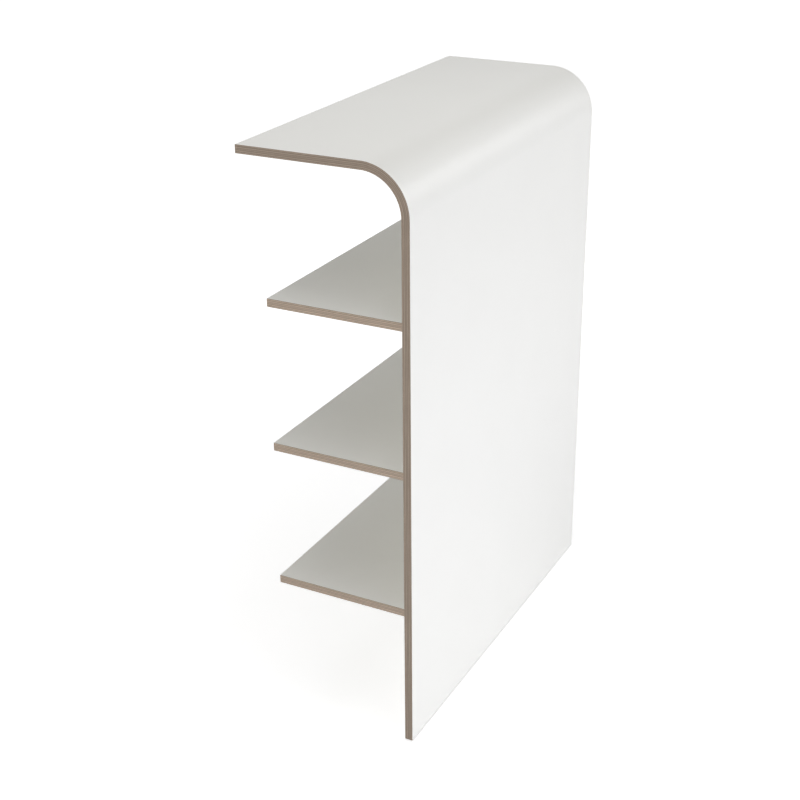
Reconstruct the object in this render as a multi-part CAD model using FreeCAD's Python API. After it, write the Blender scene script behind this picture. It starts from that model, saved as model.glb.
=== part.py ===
import FreeCAD, Part
import math
import os

# Shoe rack of bent plywood: a panel whose top bends back to the wall, with three shelves
# housed in the panel's inner face and steel angles under the top that fix it to the wall.
# Millimetres. +Z is up, X runs along the rack, the panel faces -Y and the wall is at +Y.
# The origin is on the floor, under the middle of the rack's length and depth.

# Rack
height = 1080.0
length = 800.0
depth = 318.0

# Boards of plywood with a white laminate on both faces
shell_core_thickness = 13.4
shelf_core_thickness = 13.4
laminate_thickness = 0.8
bend_radius = 87.0  # outer face of the shell's bend

# Shelves, from the top down
shelf_names = ("upper", "middle", "lower")
top_to_upper_shelf = 258.0  # between their top faces
shelf_pitch = 270.0
shelf_depth = 256.0  # panel's inner face to the shelf's free edge

# Stopped housings in the panel's inner face, one for each shelf's tongue
housing_depth = 4.0
housing_stop = 12.0  # panel left whole at each end of a housing
glue_gap = 0.1

# Beech dowels across each housing
dowel_count = 3
dowel_diameter = 8.0
dowel_length = 30.0
dowel_end_gap = 0.5
dowel_end_inset = 60.0  # rack's end to the nearest dowel
dowel_cover = 4.0  # panel left between a dowel's bore and the outer face

# Steel angles between the top and the wall
bracket_spacing = 400.0
bracket_width = 50.0
bracket_top_leg = 40.0
bracket_wall_leg = 40.0
bracket_thickness = 2.0
bracket_bend_radius = 4.0  # outside of the angle's bend
bracket_corner_radius = 8.0
slot_width = 6.0
slot_length = 14.0
slot_drop = 24.0  # top's underside to the slot's middle

# Wood screws that hold an angle to the top
screw_spacing = 28.0
screw_setback = 24.0  # wall to the row of screws
screw_diameter = 3.5
screw_length = 12.0
screw_tip_length = 4.0
screw_head_diameter = 7.0
screw_crown_diameter = 4.0  # flat of the head
screw_head_height = 2.2
screw_hole_clearance = 0.4  # radial, in the steel
pilot_clearance = 0.05  # radial, in the plywood

# Glides nailed under the panel
glide_count = 3
glide_end_inset = 60.0  # rack's end to the nearest glide
glide_diameter = 12.0
glide_height = 2.5
glide_chamfer = 0.6
nail_diameter = 1.6
nail_length = 16.0
nail_tip_length = 3.0
nail_head_diameter = 4.0
nail_head_height = 0.7
nail_head_recess = 0.6  # floor to the nail's head
nail_clearance = 0.05  # radial, in the glide

# Places that follow from these sizes
shell_thickness = shell_core_thickness + 2 * laminate_thickness
shelf_thickness = shelf_core_thickness + 2 * laminate_thickness
end_x = length / 2
wall_y = depth / 2
panel_outer_y = -depth / 2
panel_inner_y = panel_outer_y + shell_thickness
panel_middle_y = panel_outer_y + shell_thickness / 2
panel_foot_z = glide_height
top_underside_z = height - shell_thickness
housing_floor_y = panel_inner_y - housing_depth
housing_end_x = end_x - housing_stop
dowel_bore_y = panel_outer_y + dowel_cover
screw_y = wall_y - screw_setback
screw_head_z = top_underside_z - bracket_thickness
nail_seat_z = nail_head_recess + nail_head_height

UP = FreeCAD.Vector(0, 0, 1)
TO_WALL = FreeCAD.Vector(0, 1, 0)
ALONG = FreeCAD.Vector(1, 0, 0)


def shelf_top_z(index):
    """Height of a shelf's top face, counted from the upper shelf."""
    return height - top_to_upper_shelf - index * shelf_pitch


def even_places(count, end_inset):
    """X of places spaced evenly along the rack, the outer ones inset from its ends."""
    first = end_inset - end_x
    step = (length - 2 * end_inset) / (count - 1)
    return [first + index * step for index in range(count)]


def line(start, end):
    return Part.LineSegment(start, end).toShape()


def closed_lines(points):
    return [line(start, end) for start, end in zip(points, points[1:] + points[:1])]


def face_within(edges):
    return Part.Face(Part.Wire(Part.__sortEdges__(edges)))


def half_section(*places):
    """Points of a turned piece's half section from pairs of radius and distance along its axis."""
    return [FreeCAD.Vector(radius, 0, along) for radius, along in places]


def turned(edges, x, y, z):
    """Solid turned from a half section about a vertical axis."""
    solid = face_within(edges).revolve(FreeCAD.Vector(), UP, 360)
    solid.translate(FreeCAD.Vector(x, y, z))
    return solid


def bent_line(corner_y, corner_z, radius, foot_z, tip_y, inset):
    """Edges of a line that climbs from a foot, bends once and runs level to a tip.

    The corner is where the outer faces of both legs would meet, the radius is the outer face's,
    and the line lies at an inset below that face.
    """
    side = math.copysign(1, tip_y - corner_y)
    bend = radius - inset
    centre = FreeCAD.Vector(0, corner_y + side * radius, corner_z - radius)
    start = centre - TO_WALL * side * bend
    middle = centre + (UP - TO_WALL * side) * bend * math.sqrt(0.5)
    end = centre + UP * bend
    foot = FreeCAD.Vector(0, start.y, foot_z)
    tip = FreeCAD.Vector(0, tip_y, end.z)
    return [line(foot, start), Part.Arc(start, middle, end).toShape(), line(end, tip)]


def bent_board(outer_line, inner_line, x, width):
    """Board between two bent lines, centred on x."""
    foot = line(outer_line[0].Vertexes[0].Point, inner_line[0].Vertexes[0].Point)
    tip = line(outer_line[-1].Vertexes[-1].Point, inner_line[-1].Vertexes[-1].Point)
    board = face_within(outer_line + inner_line + [foot, tip]).extrude(ALONG * width)
    board.translate(ALONG * (x - width / 2))
    return board


def shell_layer(outer_inset, inner_inset):
    """Layer of the shell between two insets below its outer face."""
    outer_line, inner_line = [
        bent_line(panel_outer_y, height, bend_radius, panel_foot_z, wall_y, inset)
        for inset in (outer_inset, inner_inset)
    ]
    return bent_board(outer_line, inner_line, 0, length)


def shelf_layer(z, thickness):
    """Layer of a shelf, with the tongue that enters its housing."""
    free_y = panel_inner_y + shelf_depth
    tongue_y = housing_floor_y + glue_gap
    tongue_x = housing_end_x - glue_gap
    half = [(tongue_x, tongue_y), (tongue_x, panel_inner_y), (end_x, panel_inner_y), (end_x, free_y)]
    outline = half + [(-x, y) for x, y in reversed(half)]
    points = [FreeCAD.Vector(x, y, z) for x, y in outline]
    return face_within(closed_lines(points)).extrude(UP * thickness)


def housing(index):
    """Space of a shelf's housing in the panel."""
    low = FreeCAD.Vector(-housing_end_x, housing_floor_y, shelf_top_z(index) - shelf_thickness - glue_gap)
    return Part.makeBox(2 * housing_end_x, housing_depth, shelf_thickness + 2 * glue_gap, low)


def dowel_row(index, radius, start_y, row_length):
    """Cylinders across a shelf's housing, one at the place of each dowel."""
    z = shelf_top_z(index) - shelf_thickness / 2
    starts = [FreeCAD.Vector(x, start_y, z) for x in even_places(dowel_count, dowel_end_inset)]
    return [Part.makeCylinder(radius, row_length, start, TO_WALL) for start in starts]


def dowel_bores(index):
    """Spaces bored for a shelf's dowels, in the panel and on into the shelf."""
    bore_radius = dowel_diameter / 2 + glue_gap
    return dowel_row(index, bore_radius, dowel_bore_y, dowel_length + 2 * dowel_end_gap)


def dowels(index):
    """Dowels of a shelf, clear of their bores' ends."""
    solids = dowel_row(index, dowel_diameter / 2, dowel_bore_y + dowel_end_gap, dowel_length)
    return Part.makeCompound(solids)


def bracket_slot(x):
    """Space of the slot for a wall screw, through an angle's wall leg."""
    radius = slot_width / 2
    reach = ALONG * (slot_length / 2 - radius)
    middle = FreeCAD.Vector(x, wall_y - bracket_thickness, top_underside_z - slot_drop)
    left, right = middle - reach, middle + reach
    rise = UP * radius
    edges = [
        line(left + rise, right + rise),
        Part.Arc(right + rise, right + ALONG * radius, right - rise).toShape(),
        line(right - rise, left - rise),
        Part.Arc(left - rise, left - ALONG * radius, left + rise).toShape(),
    ]
    return face_within(edges).extrude(TO_WALL * bracket_thickness)


def bracket_screw_places(x):
    return [(x + offset, screw_y) for offset in (-screw_spacing / 2, screw_spacing / 2)]


def wall_bracket(x):
    """Steel angle with one leg under the top and one, with a slot, on the wall."""
    foot_z = top_underside_z - bracket_wall_leg
    tip_y = wall_y - bracket_top_leg
    outer_line, inner_line = [
        bent_line(wall_y, top_underside_z, bracket_bend_radius, foot_z, tip_y, inset)
        for inset in (0, bracket_thickness)
    ]
    angle = bent_board(outer_line, inner_line, x, bracket_width)
    corners = [edge for edge in angle.Edges if math.isclose(edge.Length, bracket_thickness)]
    angle = angle.makeFillet(bracket_corner_radius, corners)
    radius = screw_diameter / 2 + screw_hole_clearance
    holes = [
        Part.makeCylinder(radius, bracket_thickness, FreeCAD.Vector(hole_x, hole_y, screw_head_z))
        for hole_x, hole_y in bracket_screw_places(x)
    ]
    return angle.cut(holes + [bracket_slot(x)])


def screw(x, y):
    """Pan-headed wood screw, driven upwards from under an angle's top leg."""
    shank = screw_diameter / 2
    points = half_section(
        (0, -screw_head_height),
        (screw_crown_diameter / 2, -screw_head_height),
        (screw_head_diameter / 2, 0),
        (shank, 0),
        (shank, screw_length - screw_tip_length),
        (0, screw_length),
    )
    return turned(closed_lines(points), x, y, screw_head_z)


def pilot_bore(x, y, z, diameter, bore_length):
    """Space of a screw or nail in the plywood, upwards from a face."""
    return Part.makeCylinder(diameter / 2 + pilot_clearance, bore_length, FreeCAD.Vector(x, y, z))


def glide(x):
    """Round glide with a recess for its nail's head."""
    rim = glide_diameter / 2
    bore = nail_diameter / 2 + nail_clearance
    recess = nail_head_diameter / 2 + nail_clearance
    points = half_section(
        (bore, glide_height),
        (rim, glide_height),
        (rim, glide_chamfer),
        (rim - glide_chamfer, 0),
        (recess, 0),
        (recess, nail_seat_z),
        (bore, nail_seat_z),
    )
    return turned(closed_lines(points), x, panel_middle_y, 0)


def nail(x):
    """Nail through a glide into the panel's foot."""
    shank = nail_diameter / 2
    head = nail_head_diameter / 2
    points = half_section(
        (0, -nail_head_height),
        (head, -nail_head_height),
        (head, 0),
        (shank, 0),
        (shank, nail_length - nail_tip_length),
        (0, nail_length),
    )
    return turned(closed_lines(points), x, panel_middle_y, nail_seat_z)


shelf_numbers = range(len(shelf_names))
bracket_places = {"left": -bracket_spacing / 2, "right": bracket_spacing / 2}
screw_places = [place for x in bracket_places.values() for place in bracket_screw_places(x)]
glide_places = even_places(glide_count, glide_end_inset)

housings = [housing(index) for index in shelf_numbers]
bores = [dowel_bores(index) for index in shelf_numbers]
screw_bores = [
    pilot_bore(x, y, top_underside_z, screw_diameter, screw_length - bracket_thickness)
    for x, y in screw_places
]
nail_bores = [
    pilot_bore(x, panel_middle_y, panel_foot_z, nail_diameter, nail_length + nail_seat_z - panel_foot_z)
    for x in glide_places
]

core_inset = laminate_thickness
lining_inset = laminate_thickness + shell_core_thickness
shell_bores = screw_bores + nail_bores + sum(bores, [])
pieces = {
    "shell_plywood": shell_layer(core_inset, lining_inset).cut(housings + shell_bores),
    "shell_outer_laminate": shell_layer(0, core_inset),
    "shell_inner_laminate": shell_layer(lining_inset, shell_thickness).cut(housings + screw_bores),
    "bracket_screws": Part.makeCompound([screw(x, y) for x, y in screw_places]),
    "floor_glides": Part.makeCompound([glide(x) for x in glide_places]),
    "glide_nails": Part.makeCompound([nail(x) for x in glide_places]),
}
for side, x in bracket_places.items():
    pieces[side + "_wall_bracket"] = wall_bracket(x)
for index, name in enumerate(shelf_names):
    bottom_z = shelf_top_z(index) - shelf_thickness
    core_z = bottom_z + laminate_thickness
    cover_z = core_z + shelf_core_thickness
    pieces[name + "_shelf_bottom_laminate"] = shelf_layer(bottom_z, laminate_thickness)
    pieces[name + "_shelf_plywood"] = shelf_layer(core_z, shelf_core_thickness).cut(bores[index])
    pieces[name + "_shelf_top_laminate"] = shelf_layer(cover_z, laminate_thickness)
    pieces[name + "_shelf_dowels"] = dowels(index)

os.makedirs("parts", exist_ok=True)
for name, shape in pieces.items():
    shape.exportStep("parts/" + name + ".step")
    print(f"{name}: {len(shape.Solids)} solids, {shape.Volume / 1000:.2f} cm3, valid {shape.isValid()}")
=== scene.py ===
import math

import bmesh
import bpy
from mathutils import Matrix, Quaternion, Vector


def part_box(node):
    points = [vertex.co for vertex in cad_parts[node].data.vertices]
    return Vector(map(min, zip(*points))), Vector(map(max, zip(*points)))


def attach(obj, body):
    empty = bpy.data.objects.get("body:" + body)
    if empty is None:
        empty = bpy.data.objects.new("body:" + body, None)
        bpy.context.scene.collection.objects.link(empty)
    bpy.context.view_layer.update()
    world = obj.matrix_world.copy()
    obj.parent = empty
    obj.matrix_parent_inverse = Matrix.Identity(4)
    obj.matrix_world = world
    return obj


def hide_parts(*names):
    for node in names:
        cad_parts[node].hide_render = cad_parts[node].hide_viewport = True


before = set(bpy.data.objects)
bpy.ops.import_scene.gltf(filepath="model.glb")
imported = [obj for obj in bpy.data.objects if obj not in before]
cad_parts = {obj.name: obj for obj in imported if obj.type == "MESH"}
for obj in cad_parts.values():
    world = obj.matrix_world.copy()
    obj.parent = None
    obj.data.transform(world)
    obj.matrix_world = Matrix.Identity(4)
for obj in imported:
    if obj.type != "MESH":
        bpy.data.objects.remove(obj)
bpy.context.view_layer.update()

# Looks of the shoe rack: bent plywood shell and shelves with white laminate faces and bare edges.
# Metres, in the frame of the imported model: +Z up, the panel faces -Y, the wall is at +Y.

# Sizes read from the frame
shell_low, shell_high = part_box("shell_outer_laminate")
core_low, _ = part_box("shell_plywood")
lining_low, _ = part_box("shell_inner_laminate")
end_x = shell_high.x
wall_y = shell_high.y
panel_outer_y = shell_low.y
panel_foot_z = shell_low.z
top_z = shell_high.z
laminate_thickness = core_low.y - panel_outer_y
core_thickness = lining_low.y - core_low.y
board_thickness = core_thickness + 2 * laminate_thickness
panel_inner_y = panel_outer_y + board_thickness

# Sizes of the boards that the frame doesn't give, and what follows from them
BEND_RADIUS = 0.087  # of the shell's outer face
BEND_STEPS = 64
ARRIS = 0.0004  # rounding of the boards' edges
ARRIS_STEPS = 3
ARRIS_PROFILE = 0.5  # a circle's
SMOOTH_ANGLE = math.radians(40)  # edges up to this angle are shaded smooth
bend_y = panel_outer_y + BEND_RADIUS
bend_z = top_z - BEND_RADIUS
layer_insets = (0, laminate_thickness, laminate_thickness + core_thickness, board_thickness)

# Shelves, and the material slots of a board's layer
SHELVES = ("upper", "middle", "lower")
FACE_SLOT = 0
EDGE_SLOT = 1

# Pan-headed screws with a cross recess
SCREW_SIDES = 32
SCREW_CROWN = 0.0018  # radius of the head's flat
SCREW_HEAD_HEIGHT = 0.0022
SCREW_HEAD_CURVE = 0.8  # share of the head's height that is curved
SCREW_HEAD_STEPS = 5
SCREW_CORE = 0.0012  # radius between the threads
SCREW_THREAD = 0.00175  # radius over the threads
SCREW_PITCH = 0.0014
SCREW_PITCH_STEPS = 6
SCREW_RIDGE_SHARE = 0.5  # share of the pitch that the thread's ridge takes
SCREW_POINT = 0.004  # length of the tapered end
SCREW_TURN = 0.7  # how much further each next screw is driven, in radians
RECESS_REACH = 0.0015
RECESS_HALF_WIDTH = 0.00035
RECESS_DEPTH = 0.0012
RECESS_TAPER = 0.6  # size of the recess's floor over its mouth's

# Nails of the glides
NAILS = 3
NAIL_SIDES = 24
NAIL_SHANK = 0.0008  # radius
NAIL_HEAD_HEIGHT = 0.0007
NAIL_HEAD_CHAMFER = 0.00015
NAIL_POINT = 0.003  # length of the tapered end
NAIL_POINT_FLAT = 0.0001  # radius

# Fluted dowels
DOWELS = 3
DOWEL_FLUTES = 16
DOWEL_FLUTE_STEPS = 4
DOWEL_FLUTE_DEPTH = 0.00025
DOWEL_CHAMFER = 0.0008

# Tones of the materials, each from the darkest to the lightest
LAMINATE_TONES = ((0.846, 0.839, 0.792, 1), (0.866, 0.859, 0.812, 1))
LAMINATE_CORE_TONES = ((0.21, 0.16, 0.12, 1), (0.34, 0.265, 0.20, 1))
FACE_GRAIN_TONES = ((0.31, 0.24, 0.18, 1), (0.61, 0.495, 0.39, 1))
END_GRAIN_TONES = ((0.20, 0.15, 0.115, 1), (0.44, 0.355, 0.28, 1))
BEECH_TONES = ((0.42, 0.27, 0.16, 1), (0.62, 0.45, 0.29, 1))
BRACKET_ZINC_TONES = ((0.27, 0.275, 0.29, 1), (0.46, 0.47, 0.485, 1))
SCREW_ZINC_TONES = ((0.32, 0.32, 0.325, 1), (0.52, 0.52, 0.52, 1))
GLIDE_TONES = ((0.62, 0.61, 0.57, 1), (0.74, 0.73, 0.69, 1))

# Grain of the plywood and the beech, and rolling marks of the zinc
PLIES = 9
PLY_WAVER = 0.35  # how far a glue line strays, over a veneer's thickness
PLY_STRETCH = 40.0  # length of the grain's streaks over their thickness
PLY_GRAIN_STEP = 0.37  # shift of the grain from one veneer to the next
DARK_PLY = 0.9  # tones of the darkest and the lightest veneer
LIGHT_PLY = 1.1
# brightness of the bare edges: partly the plywood's own tone, and partly painted light, as the shell's
# edges are painted darker and the shelves' lighter to stand in for how lit each looks
SHELL_PLY_TONE_AND_PAINTED_LIGHT = 0.87
SHELF_PLY_TONE_AND_PAINTED_LIGHT = 1.24
RAY_SQUEEZE = 0.12  # thickness of the beech's rays over their length
MARK_SQUEEZE = 0.05  # thickness of a rolling mark over its length

# Stage and light
FLOOR_SIZE = 60.0
FLOOR_COLOUR = (0.82, 0.82, 0.82, 1)
FLOOR_GLOW_NEAR = 0.575  # white that the camera sees over the floor's lit colour, at the rack
FLOOR_GLOW_FAR = 1.0
FLOOR_NEAR = 0.7  # distances from the rack between which the glow changes
FLOOR_FAR = 2.6
WHITE = (1, 1, 1, 1)
SKY_COLOUR = (1, 0.98, 0.94, 1)
SKY_STRENGTH = 0.1
DAYLIGHT = (0.915, 0.93, 1)
NEUTRAL = (0.975, 0.98, 1)
WARM = (1, 0.975, 0.95)
SOFTBOXES = (  # name, place, point that it faces, width, height, power in watts, colour
    ("front_softbox", (0, -1.9, 0.3), (0, -0.1, 0.3), 2.2, 0.5, 15.3, DAYLIGHT),
    ("front_near_softbox", (-1.3, -2.0, 0.3), (-0.1, -0.1, 0.35), 1.4, 0.5, 12.6, DAYLIGHT),
    ("front_far_softbox", (2.1, -1.7, 1.7), (0, -0.12, 1.0), 1.0, 0.8, 6.9, NEUTRAL),
    ("back_softbox", (0, 2.6, 0.65), (0, 0, 0.5), 2.4, 0.9, 25, NEUTRAL),
    ("left_softbox", (-2.4, 0.6, 1.2), (0, 0, 0.5), 1.6, 0.8, 13.8, WARM),
    ("right_softbox", (2.6, 0.2, 0.6), (0, 0, 0.5), 2.0, 1.0, 4.1, WARM),
    ("top_softbox", (0.1, 0.15, 2.9), (0, 0.05, 1.0), 1.8, 1.4, 8.6, NEUTRAL),
    ("top_near_softbox", (-0.9, -0.3, 2.7), (0, 0, 1.0), 1.4, 1.4, 8.9, NEUTRAL),
    ("top_front_softbox", (0, -0.9, 2.6), (0, -0.1, 1.0), 1.8, 1.0, 9.2, NEUTRAL),
)
UNMIRRORED = ("left_softbox",)  # its mirror image turns faces white when seen from the far end

# Camera, its lens and sensor in millimetres
CAMERA_PLACE = (-2.3126, -1.1414, 1.6699)
CAMERA_AIM = (-0.134, 0, 0.5488)
CAMERA_ROLL = math.radians(-0.49)
CAMERA_LENS = 64.956
SENSOR_WIDTH = 36.0


# Shader nodes

def connect(tree, shader, inputs):
    """Sets a shader node's inputs, or links them to sockets."""
    for name, value in inputs.items():
        if isinstance(value, bpy.types.NodeSocket):
            tree.links.new(value, shader.inputs[name])
        else:
            shader.inputs[name].default_value = value


def place(tree, kind, inputs=None, **settings):
    """New shader node with its settings and inputs."""
    made = tree.nodes.new(kind)
    for name, value in settings.items():
        setattr(made, name, value)
    connect(tree, made, inputs or {})
    return made


def calc(tree, operation, *values):
    return place(tree, "ShaderNodeMath", dict(enumerate(values)), operation=operation).outputs[0]


def vector(tree, x, y, z):
    return place(tree, "ShaderNodeCombineXYZ", {0: x, 1: y, 2: z}).outputs[0]


def split(tree, point):
    """Sockets with the x, y and z of a point."""
    return place(tree, "ShaderNodeSeparateXYZ", {0: point}).outputs


def object_point(tree):
    """Socket with a point in its object's own coordinates."""
    return place(tree, "ShaderNodeTexCoord").outputs["Object"]


def noise(tree, point, scale, detail=2.0, roughness=0.5):
    inputs = {"Vector": point, "Scale": scale, "Detail": detail, "Roughness": roughness}
    return place(tree, "ShaderNodeTexNoise", inputs).outputs["Fac"]


def spread(tree, value, low, high, start=0.0, end=1.0):
    """Maps a value between start and end onto low to high."""
    inputs = {"Value": value, "From Min": start, "From Max": end, "To Min": low, "To Max": high}
    return place(tree, "ShaderNodeMapRange", inputs).outputs["Result"]


def mix(tree, factor, first, second):
    """Colour between two others."""
    inputs = {0: factor, 6: first, 7: second}
    return place(tree, "ShaderNodeMix", inputs, data_type="RGBA").outputs[2]


def blend(tree, factor, first, second):
    """Shader between two others."""
    inputs = {0: factor, 1: first.outputs[0], 2: second.outputs[0]}
    return place(tree, "ShaderNodeMixShader", inputs)


def shade(tree, colour, factor):
    """Colour made lighter or darker by a factor."""
    inputs = {0: colour, "Scale": factor}
    return place(tree, "ShaderNodeVectorMath", inputs, operation="SCALE").outputs[0]


def bump(tree, height, distance, strength):
    inputs = {"Height": height, "Distance": distance, "Strength": strength}
    return place(tree, "ShaderNodeBump", inputs).outputs[0]


def new_material(name):
    material = bpy.data.materials.new(name)
    material.use_nodes = True
    return material, material.node_tree, material.node_tree.nodes["Principled BSDF"]


# Laminate

def white_laminate():
    """Satin white laminate with a fine pearl texture."""
    material, tree, shader = new_material("white_laminate")
    point = object_point(tree)
    cloud = noise(tree, point, scale=9.0, detail=3.0)
    pearl = noise(tree, point, scale=900.0, detail=1.0)
    connect(tree, shader, {
        "Base Color": mix(tree, cloud, *LAMINATE_TONES),
        "Roughness": spread(tree, pearl, low=0.33, high=0.43),
        "IOR": 1.5,
        "Normal": bump(tree, pearl, distance=0.00003, strength=0.5),
    })
    return material


def laminate_edge():
    """Brown paper core of the laminate, seen along its cut edge."""
    material, tree, shader = new_material("laminate_edge")
    fleck = noise(tree, object_point(tree), scale=260.0, detail=3.0)
    connect(tree, shader, {
        "Base Color": mix(tree, fleck, *LAMINATE_CORE_TONES),
        "Roughness": 0.55,
    })
    return material


# Plywood

def shell_run(tree):
    """Sockets along the shell's bend and down through its board, from coordinates about the bend."""
    _, y, z = split(tree, object_point(tree))
    outward = calc(tree, "MAXIMUM", calc(tree, "MULTIPLY", y, -1.0), 0.0)
    upward = calc(tree, "MAXIMUM", z, 0.0)
    squares = [calc(tree, "POWER", side, 2.0) for side in (outward, upward)]
    radius = calc(tree, "SQRT", calc(tree, "ADD", *squares))
    depth = calc(tree, "SUBTRACT", BEND_RADIUS - laminate_thickness, radius)
    turn = calc(tree, "MULTIPLY", calc(tree, "ARCTAN2", upward, outward), BEND_RADIUS)
    straight = calc(tree, "ADD", calc(tree, "MINIMUM", z, 0.0), calc(tree, "MAXIMUM", y, 0.0))
    return calc(tree, "ADD", turn, straight), depth


def shelf_run(tree):
    """Sockets along a shelf's depth and down through its board, from coordinates at its top face."""
    _, y, z = split(tree, object_point(tree))
    return y, calc(tree, "SUBTRACT", -laminate_thickness, z)


def veneers(tree, point, depth):
    """Sockets with the level in the board, counted in uneven veneers, and the veneer's number."""
    waver = spread(tree, noise(tree, point, scale=12.0), low=-PLY_WAVER, high=PLY_WAVER)
    level = calc(tree, "MULTIPLY_ADD", depth, PLIES / core_thickness, waver)
    capped = calc(tree, "MINIMUM", calc(tree, "FLOOR", level), PLIES - 1.0)
    return level, calc(tree, "MAXIMUM", capped, 0.0)


def veneer_tone(tree, level, ply, tone):
    """Socket with a veneer's tone, darker at its glue lines."""
    sheet = place(tree, "ShaderNodeTexWhiteNoise", {"W": ply}, noise_dimensions="1D").outputs["Value"]
    from_glue = calc(tree, "PINGPONG", level, 0.5)
    glue_line = spread(tree, from_glue, low=0.6, high=1.0, start=0.02, end=0.1)
    # the tone scales in the piece's brightness, partly the plywood's own tone and partly painted light
    return calc(tree, "MULTIPLY", glue_line, spread(tree, sheet, DARK_PLY * tone, LIGHT_PLY * tone))


def faces_end(tree):
    """Socket that is 1 on the board's two ends and 0 elsewhere."""
    normal = place(tree, "ShaderNodeNewGeometry").outputs["Normal"]
    facing = split(tree, normal)[0]
    return calc(tree, "GREATER_THAN", calc(tree, "ABSOLUTE", facing), 0.5)


def streaks(tree, edge_run, stretched_depth, ply):
    """Socket with the coarse and fine streaks of grain that runs along an edge."""
    grain = vector(tree, edge_run, stretched_depth, calc(tree, "MULTIPLY", ply, PLY_GRAIN_STEP))
    coarse = noise(tree, grain, scale=22.0, detail=5.0, roughness=0.7)
    fine = noise(tree, grain, scale=150.0, detail=3.0, roughness=0.7)
    return calc(tree, "ADD", coarse, fine)


def pores(tree, point):
    """Socket with the tone of the pores in grain that is cut across."""
    inputs = {"Vector": point, "Scale": 2600.0}
    distance = place(tree, "ShaderNodeTexVoronoi", inputs).outputs["Distance"]
    return spread(tree, distance, low=0.6, high=1.0, start=0.1, end=0.35)


def plywood(name, board_run, tone):
    """Bare plywood edge: veneers of uneven thickness between dark glue lines.

    Streaks show where a veneer's grain runs along the edge, and pores where it is cut across.
    """
    material, tree, shader = new_material(name)
    run, depth = board_run(tree)
    along = split(tree, object_point(tree))[0]
    stretched_depth = calc(tree, "MULTIPLY", depth, PLY_STRETCH)
    level, ply = veneers(tree, vector(tree, run, along, stretched_depth), depth)
    on_end = faces_end(tree)
    cut_across = calc(tree, "COMPARE", calc(tree, "FLOORED_MODULO", ply, 2.0), on_end, 0.5)

    edge_run = calc(tree, "MULTIPLY_ADD", on_end, calc(tree, "SUBTRACT", run, along), along)
    streak = streaks(tree, edge_run, stretched_depth, ply)
    streak_tone = spread(tree, streak, low=0.0, high=1.0, start=0.6, end=1.4)
    face_grain = mix(tree, streak_tone, *FACE_GRAIN_TONES)

    point = vector(tree, run, along, depth)
    fibre = noise(tree, point, scale=1100.0, detail=3.0, roughness=0.6)
    pore_tone = pores(tree, point)
    end_grain = shade(tree, mix(tree, fibre, *END_GRAIN_TONES), pore_tone)

    grain = mix(tree, cut_across, face_grain, end_grain)
    relief = calc(tree, "MULTIPLY", pore_tone, streak)
    connect(tree, shader, {
        "Base Color": shade(tree, grain, veneer_tone(tree, level, ply, tone)),
        "Roughness": spread(tree, fibre, low=0.48, high=0.68),
        "Normal": bump(tree, relief, distance=0.0001, strength=0.4),
    })
    return material


# Beech, zinc and plastic

def turned_beech():
    """Pale beech with short dark rays along the dowel."""
    material, tree, shader = new_material("turned_beech")
    x, y, z = split(tree, object_point(tree))
    squeezed = vector(tree, x, calc(tree, "MULTIPLY", y, RAY_SQUEEZE), z)
    rays = noise(tree, squeezed, scale=1400.0, detail=3.0, roughness=0.6)
    connect(tree, shader, {
        "Base Color": mix(tree, rays, *BEECH_TONES),
        "Roughness": 0.62,
        "Normal": bump(tree, rays, distance=0.0001, strength=0.4),
    })
    return material


def zinc_plate(name, tones):
    """Zinc plate with clouds and rolling marks."""
    material, tree, shader = new_material(name)
    point = object_point(tree)
    x, y, z = split(tree, point)
    squeezed = vector(tree, calc(tree, "MULTIPLY", x, MARK_SQUEEZE), y, z)
    marks = noise(tree, squeezed, scale=1500.0, detail=3.0, roughness=0.6)
    clouds = noise(tree, point, scale=60.0, detail=4.0, roughness=0.6)
    connect(tree, shader, {
        "Base Color": mix(tree, clouds, *tones),
        "Metallic": 1.0,
        "Roughness": spread(tree, marks, low=0.4, high=0.62),
        "Normal": bump(tree, marks, distance=0.00003, strength=0.5),
    })
    return material


def glide_plastic():
    """Milky polyethylene, slightly scuffed."""
    material, tree, shader = new_material("glide_plastic")
    scuffs = noise(tree, object_point(tree), scale=800.0, detail=4.0, roughness=0.7)
    connect(tree, shader, {
        "Base Color": mix(tree, scuffs, *GLIDE_TONES),
        "Roughness": spread(tree, scuffs, low=0.38, high=0.6),
        "Normal": bump(tree, scuffs, distance=0.00005, strength=0.3),
    })
    return material


# Pieces

def spaced(first, last, count):
    """Values spaced evenly from the first to the last."""
    return [first + (last - first) * step / (count - 1) for step in range(count)]


def finished_mesh(name, mesh):
    """Mesh data with smooth shading up to sharp edges."""
    bmesh.ops.recalc_face_normals(mesh, faces=mesh.faces)
    for face in mesh.faces:
        face.smooth = True
    data = bpy.data.meshes.new(name)
    mesh.to_mesh(data)
    mesh.free()
    data.set_sharp_from_angle(angle=SMOOTH_ANGLE)
    return data


def add_piece(name, mesh, origin, materials, node):
    """Puts a piece in the scene, on the rack's body, in place of a node."""
    data = finished_mesh(name, mesh)
    piece = bpy.data.objects.new(name, data)
    piece.location = origin
    for material in materials:
        data.materials.append(material)
    bpy.context.scene.collection.objects.link(piece)
    normals = piece.modifiers.new("face_normals", "WEIGHTED_NORMAL")
    normals.keep_sharp = True
    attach(piece, "root")
    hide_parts(node)


def dress_node(node, material):
    """Gives a node that is shown as it is a finished material."""
    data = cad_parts[node].data
    data.materials.clear()
    data.materials.append(material)


# Boards

def bent_path(inset):
    """Points (y, z) from the panel's foot over the bend to the wall, an inset below the outer face."""
    radius = BEND_RADIUS - inset
    path = [(bend_y - radius, panel_foot_z)]
    for angle in spaced(0, math.pi / 2, BEND_STEPS + 1):
        path.append((bend_y - radius * math.cos(angle), bend_z + radius * math.sin(angle)))
    path.append((wall_y, bend_z + radius))
    return path


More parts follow.
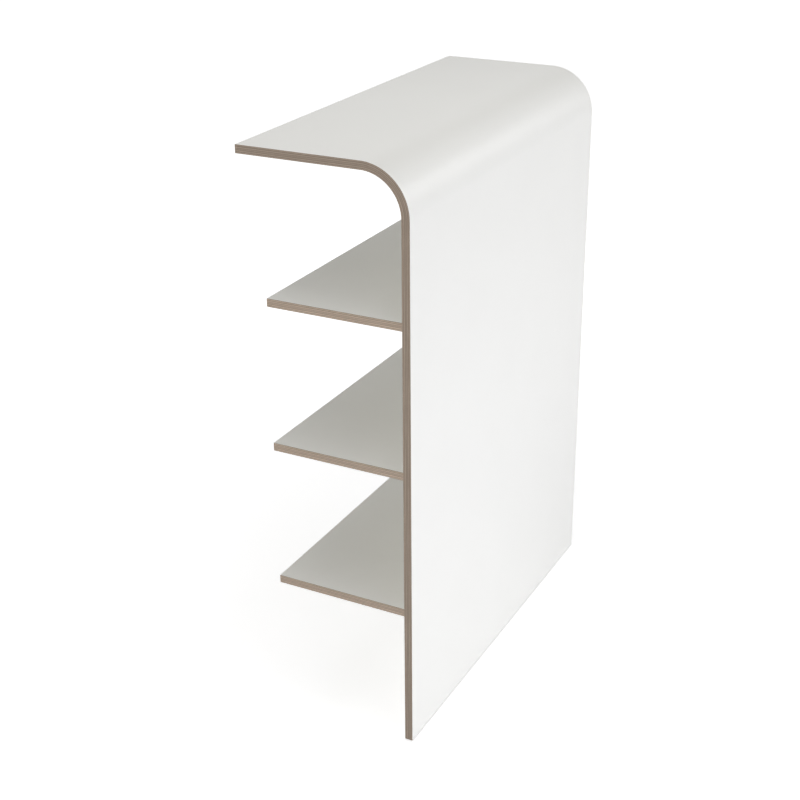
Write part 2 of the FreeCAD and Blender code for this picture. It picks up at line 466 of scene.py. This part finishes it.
def layer_faces(mesh, rows, face_side):
    """Faces all round a layer: on its two sides, its two ends and its two tips."""
    (left_outer, left_inner), (right_outer, right_inner) = rows
    steps = range(len(left_outer) - 1)
    for side, (left, right) in enumerate(((left_outer, right_outer), (left_inner, right_inner))):
        for step in steps:
            face = mesh.faces.new((left[step], right[step], right[step + 1], left[step + 1]))
            face.material_index = FACE_SLOT if side == face_side else EDGE_SLOT
    for outer, inner in rows:
        for step in steps:
            corners = (outer[step], outer[step + 1], inner[step + 1], inner[step])
            mesh.faces.new(corners).material_index = EDGE_SLOT
    for tip in (0, -1):
        corners = (left_outer[tip], left_inner[tip], right_inner[tip], right_outer[tip])
        mesh.faces.new(corners).material_index = EDGE_SLOT


def edges_to_round(mesh, rows, face_side, free_tips):
    """Corner edges at a layer's free tips, and the edges round its face side."""
    pairs = [(outer[tip], inner[tip]) for outer, inner in rows for tip in free_tips]
    if face_side is not None:
        left, right = [sides[face_side] for sides in rows]
        pairs += list(zip(left, left[1:])) + list(zip(right, right[1:]))
        pairs += [(left[tip], right[tip]) for tip in free_tips]
    return [mesh.edges.get(pair) for pair in pairs]


def layer_mesh(outer, inner, origin, face_side, free_tips):
    """Mesh of a board's layer between two paths of (y, z), as long as the rack.

    Side 0 follows the outer path and side 1 the inner one. The face side, where there is one,
    takes the first material and has its edges rounded, and all else takes the second. The
    corners are rounded too, but nothing is at a tip that isn't free.
    """
    mesh = bmesh.new()
    rows = [
        [[mesh.verts.new(Vector((x, y, z)) - origin) for y, z in path] for path in (outer, inner)]
        for x in (-end_x, end_x)
    ]
    layer_faces(mesh, rows, face_side)
    bmesh.ops.recalc_face_normals(mesh, faces=mesh.faces)
    edges = edges_to_round(mesh, rows, face_side, free_tips)
    bmesh.ops.bevel(mesh, geom=edges, offset=ARRIS, segments=ARRIS_STEPS, profile=ARRIS_PROFILE,
                    affect="EDGES", clamp_overlap=True, material=EDGE_SLOT)
    return mesh


def add_board(prefix, sides, paths, origin, finishes, free_tips):
    """Laminate, plywood core and second laminate of a board, each between two of four paths."""
    ply, face, edge = finishes
    first, last = sides
    layers = (  # piece, node, face side, materials, slot
        (first + "_face", first + "_laminate", 0, (face, edge), "white_laminate"),
        ("board", "plywood", None, (ply, ply), "plywood"),
        (last + "_face", last + "_laminate", 1, (face, edge), "white_laminate"),
    )
    for (piece, node, face_side, materials, slot), outer, inner in zip(layers, paths, paths[1:]):
        mesh = layer_mesh(outer, inner, origin, face_side, free_tips)
        add_piece(prefix + piece, mesh, origin, materials, prefix + node)


def add_shell(finishes):
    origin = Vector((0, bend_y, bend_z))
    paths = [bent_path(inset) for inset in layer_insets]
    add_board("shell_", ("outer", "inner"), paths, origin, finishes, free_tips=(0, -1))


def add_shelf(name, finishes):
    """Shelf whose paths run from its free edge to the panel."""
    _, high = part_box(name + "_shelf_top_laminate")
    origin = Vector((0, panel_inner_y, high.z))
    paths = [[(high.y, high.z - inset), (panel_inner_y, high.z - inset)] for inset in layer_insets]
    add_board(name + "_shelf_", ("top", "bottom"), paths, origin, finishes, free_tips=(0,))


# Screws, nails and dowels

def ring(mesh, centre, height, radii):
    """Vertices round a vertical axis, one for each radius."""
    turn = 2 * math.pi / len(radii)
    loop = []
    for step, radius in enumerate(radii):
        offset = Vector((radius * math.cos(turn * step), radius * math.sin(turn * step), height))
        loop.append(mesh.verts.new(centre + offset))
    return loop


def join_loops(mesh, first, second):
    """Faces between two loops of as many vertices."""
    for step in range(len(first)):
        after = (step + 1) % len(first)
        mesh.faces.new((first[step], first[after], second[after], second[step]))


def join_rings(mesh, loops):
    """Faces along a row of rings."""
    for first, second in zip(loops, loops[1:]):
        join_loops(mesh, first, second)


def add_turned(mesh, foot, outlines):
    """Closed solid round a vertical axis, from rings given as a height and radii."""
    loops = [ring(mesh, foot, height, radii) for height, radii in outlines]
    join_rings(mesh, loops)
    mesh.faces.new(loops[0])
    mesh.faces.new(loops[-1])


def loop_edges(mesh, loop):
    return [mesh.edges.get(pair) or mesh.edges.new(pair) for pair in zip(loop, loop[1:] + loop[:1])]


def cross(mesh, centre, height, scale, turn):
    """Vertices of a cross recess round a vertical axis."""
    reach = RECESS_REACH * scale
    half_width = RECESS_HALF_WIDTH * scale
    arm = [
        Vector((reach, -half_width, height)),
        Vector((reach, half_width, height)),
        Vector((half_width, half_width, height)),
    ]
    turns = [Matrix.Rotation(turn + quarter * math.pi / 2, 3, "Z") for quarter in range(4)]
    return [mesh.verts.new(centre + rotation @ corner) for rotation in turns for corner in arm]


def add_recess(mesh, crown, rim, turn):
    """Screw head's flat inside its rim, with a cross recess."""
    mouth = cross(mesh, crown, height=0, scale=1, turn=turn)
    recess_floor = cross(mesh, crown, height=RECESS_DEPTH, scale=RECESS_TAPER, turn=turn)
    join_loops(mesh, mouth, recess_floor)
    mesh.faces.new(recess_floor)
    flat = loop_edges(mesh, rim) + loop_edges(mesh, mouth)
    bmesh.ops.triangle_fill(mesh, edges=flat, use_beauty=True)


def head_profile(head_radius):
    """Radii and heights of a pan head, from its flat to its seat."""
    bulge = head_radius - SCREW_CROWN
    curve = SCREW_HEAD_HEIGHT * SCREW_HEAD_CURVE
    profile = []
    for angle in spaced(0, math.pi / 2, SCREW_HEAD_STEPS + 1):
        profile.append((SCREW_CROWN + bulge * math.sin(angle), curve * (1 - math.cos(angle))))
    return profile + [(head_radius, SCREW_HEAD_HEIGHT), (SCREW_CORE, SCREW_HEAD_HEIGHT)]


def thread_radii(height, shank_length):
    """Radii round a screw's shank at a height above its head's seat."""
    taper = min(1.0, (shank_length - height) / SCREW_POINT)
    radii = []
    for step in range(SCREW_SIDES):
        phase = (height / SCREW_PITCH - step / SCREW_SIDES) % 1
        ridge = max(0.0, 1 - abs(phase - 0.5) / (SCREW_RIDGE_SHARE / 2))
        radii.append(taper * (SCREW_CORE + ridge * (SCREW_THREAD - SCREW_CORE)))
    return radii


def add_screw(mesh, crown, head_radius, length, turn):
    """Screw that points upwards from the middle of its head's flat."""
    profile = head_profile(head_radius)
    loops = [ring(mesh, crown, height, [radius] * SCREW_SIDES) for radius, height in profile]
    shank_length = length - SCREW_HEAD_HEIGHT
    steps = math.ceil(shank_length / SCREW_PITCH * SCREW_PITCH_STEPS)
    for step in range(1, steps):
        height = shank_length * step / steps
        loops.append(ring(mesh, crown, SCREW_HEAD_HEIGHT + height, thread_radii(height, shank_length)))
    join_rings(mesh, loops)
    mesh.faces.new(loops[-1])
    add_recess(mesh, crown, loops[0], turn)


def add_bracket_screws(material):
    low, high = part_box("bracket_screws")
    bracket_low, bracket_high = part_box("right_wall_bracket")
    head_radius = (high.y - low.y) / 2
    bracket_x = (bracket_low.x + bracket_high.x) / 2
    offset = high.x - head_radius - bracket_x
    places = [side * bracket_x + shift for side in (-1, 1) for shift in (-offset, offset)]
    mesh = bmesh.new()
    for number, x in enumerate(places):
        add_screw(mesh, Vector((x, 0, 0)), head_radius, high.z - low.z, SCREW_TURN * number)
    origin = Vector((0, (low.y + high.y) / 2, low.z))
    add_piece("bracket_screw_set", mesh, origin, (material,), "bracket_screws")


def add_glide_nails(material):
    low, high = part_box("glide_nails")
    head = (high.y - low.y) / 2
    length = high.z - low.z
    profile = (
        (head - NAIL_HEAD_CHAMFER, 0),
        (head, NAIL_HEAD_CHAMFER),
        (head, NAIL_HEAD_HEIGHT),
        (NAIL_SHANK, NAIL_HEAD_HEIGHT),
        (NAIL_SHANK, length - NAIL_POINT),
        (NAIL_POINT_FLAT, length),
    )
    outlines = [(height, [radius] * NAIL_SIDES) for radius, height in profile]
    mesh = bmesh.new()
    for x in spaced(low.x + head, high.x - head, NAILS):
        add_turned(mesh, Vector((x, 0, 0)), outlines)
    origin = Vector((0, (low.y + high.y) / 2, low.z))
    add_piece("glide_nail_set", mesh, origin, (material,), "glide_nails")


def fluted(radius):
    """Radii round a dowel."""
    phases = [2 * math.pi * step / DOWEL_FLUTE_STEPS for step in range(DOWEL_FLUTE_STEPS)]
    return [radius - DOWEL_FLUTE_DEPTH * (1 - math.cos(phase)) / 2 for phase in phases] * DOWEL_FLUTES


def add_dowels(node, material):
    """Dowels that lie along Y, made upright and then turned."""
    low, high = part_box(node)
    radius = (high.z - low.z) / 2
    length = high.y - low.y
    profile = (
        (radius - DOWEL_CHAMFER, 0),
        (radius, DOWEL_CHAMFER),
        (radius, length - DOWEL_CHAMFER),
        (radius - DOWEL_CHAMFER, length),
    )
    outlines = [(height, fluted(rim)) for rim, height in profile]
    mesh = bmesh.new()
    for x in spaced(low.x + radius, high.x - radius, DOWELS):
        add_turned(mesh, Vector((x, 0, 0)), outlines)
    bmesh.ops.rotate(mesh, verts=mesh.verts, matrix=Matrix.Rotation(-math.pi / 2, 3, "X"))
    origin = Vector((0, low.y, (low.z + high.z) / 2))
    add_piece(node + "_fluted", mesh, origin, (material,), node)


# Stage, light and camera

def seen_directly(tree):
    """1 for rays that show the background itself or mirror it, 0 for rays that carry light."""
    path = place(tree, "ShaderNodeLightPath").outputs
    mirrored = calc(tree, "MAXIMUM", path["Is Glossy Ray"], path["Is Transmission Ray"])
    return calc(tree, "MAXIMUM", path["Is Camera Ray"], mirrored)


def floor_white():
    """White that takes a pale shadow, and is clear when it is looked through from below."""
    material = bpy.data.materials.new("floor")
    material.use_nodes = True
    tree = material.node_tree
    tree.nodes.clear()
    matt = place(tree, "ShaderNodeBsdfDiffuse", {"Color": FLOOR_COLOUR})
    point = object_point(tree)
    away = place(tree, "ShaderNodeVectorMath", {0: point}, operation="LENGTH").outputs["Value"]
    white = spread(tree, away, FLOOR_GLOW_NEAR, FLOOR_GLOW_FAR, FLOOR_NEAR, FLOOR_FAR)
    strength = calc(tree, "MULTIPLY", seen_directly(tree), white)
    glow = place(tree, "ShaderNodeEmission", {"Color": WHITE, "Strength": strength})
    upper_side = place(tree, "ShaderNodeAddShader", {0: matt.outputs[0], 1: glow.outputs[0]})
    clear = place(tree, "ShaderNodeBsdfTransparent")
    from_below = place(tree, "ShaderNodeNewGeometry").outputs["Backfacing"]
    both = blend(tree, from_below, upper_side, clear)
    place(tree, "ShaderNodeOutputMaterial", {"Surface": both.outputs[0]})
    return material


def add_floor():
    data = bpy.data.meshes.new("floor")
    half = FLOOR_SIZE / 2
    corners = [(-half, -half, 0), (half, -half, 0), (half, half, 0), (-half, half, 0)]
    data.from_pydata(corners, [], [(0, 1, 2, 3)])
    floor = bpy.data.objects.new("floor", data)
    bpy.context.scene.collection.objects.link(floor)
    data.materials.append(floor_white())


def light_world():
    """White background that is mirrored in full, but lights the rack only faintly."""
    world = bpy.data.worlds.new("studio")
    bpy.context.scene.world = world
    world.use_nodes = True
    tree = world.node_tree
    tree.nodes.clear()
    sky = place(tree, "ShaderNodeBackground", {"Color": SKY_COLOUR, "Strength": SKY_STRENGTH})
    white = place(tree, "ShaderNodeBackground", {"Color": WHITE, "Strength": 1.0})
    both = blend(tree, seen_directly(tree), sky, white)
    place(tree, "ShaderNodeOutputWorld", {"Surface": both.outputs[0]})


def aim(thing, target, roll=0.0):
    """Turns a lamp or camera towards a point."""
    thing.rotation_mode = "QUATERNION"
    turn = (Vector(target) - thing.location).to_track_quat("-Z", "Y")
    thing.rotation_quaternion = turn @ Quaternion((0, 0, 1), roll)


def add_softbox(name, location, target, width, height, power, colour):
    data = bpy.data.lights.new(name, "AREA")
    data.shape = "RECTANGLE"
    data.size = width
    data.size_y = height
    data.energy = power
    data.color = colour
    lamp = bpy.data.objects.new(name, data)
    lamp.location = location
    lamp.visible_camera = False
    lamp.visible_glossy = name not in UNMIRRORED
    aim(lamp, target)
    bpy.context.scene.collection.objects.link(lamp)


def add_camera():
    data = bpy.data.cameras.new("camera")
    data.sensor_width = SENSOR_WIDTH
    data.lens = CAMERA_LENS
    camera = bpy.data.objects.new("camera", data)
    camera.location = CAMERA_PLACE
    aim(camera, CAMERA_AIM, CAMERA_ROLL)
    bpy.context.scene.collection.objects.link(camera)
    bpy.context.scene.camera = camera


# The rack
laminate_finishes = (white_laminate(), laminate_edge())
# two copies of one plywood that differ only in brightness, partly painted light: the shelves' edges
# are painted lighter than the shell's
shell_ply = plywood("shell_plywood_edge", shell_run, SHELL_PLY_TONE_AND_PAINTED_LIGHT)
shelf_ply = plywood("shelf_plywood_edge", shelf_run, SHELF_PLY_TONE_AND_PAINTED_LIGHT)
beech = turned_beech()
bracket_zinc = zinc_plate("bracket_zinc", BRACKET_ZINC_TONES)
screw_zinc = zinc_plate("screw_zinc", SCREW_ZINC_TONES)
add_shell((shell_ply, *laminate_finishes))
for shelf in SHELVES:
    add_shelf(shelf, (shelf_ply, *laminate_finishes))
    add_dowels(shelf + "_shelf_dowels", beech)
for side in ("left", "right"):
    dress_node(side + "_wall_bracket", bracket_zinc)
add_bracket_screws(screw_zinc)
add_glide_nails(screw_zinc)
dress_node("floor_glides", glide_plastic())

# The studio
add_floor()
light_world()
for softbox in SOFTBOXES:
    add_softbox(*softbox)
add_camera()
bpy.context.scene.view_settings.view_transform = "Standard"
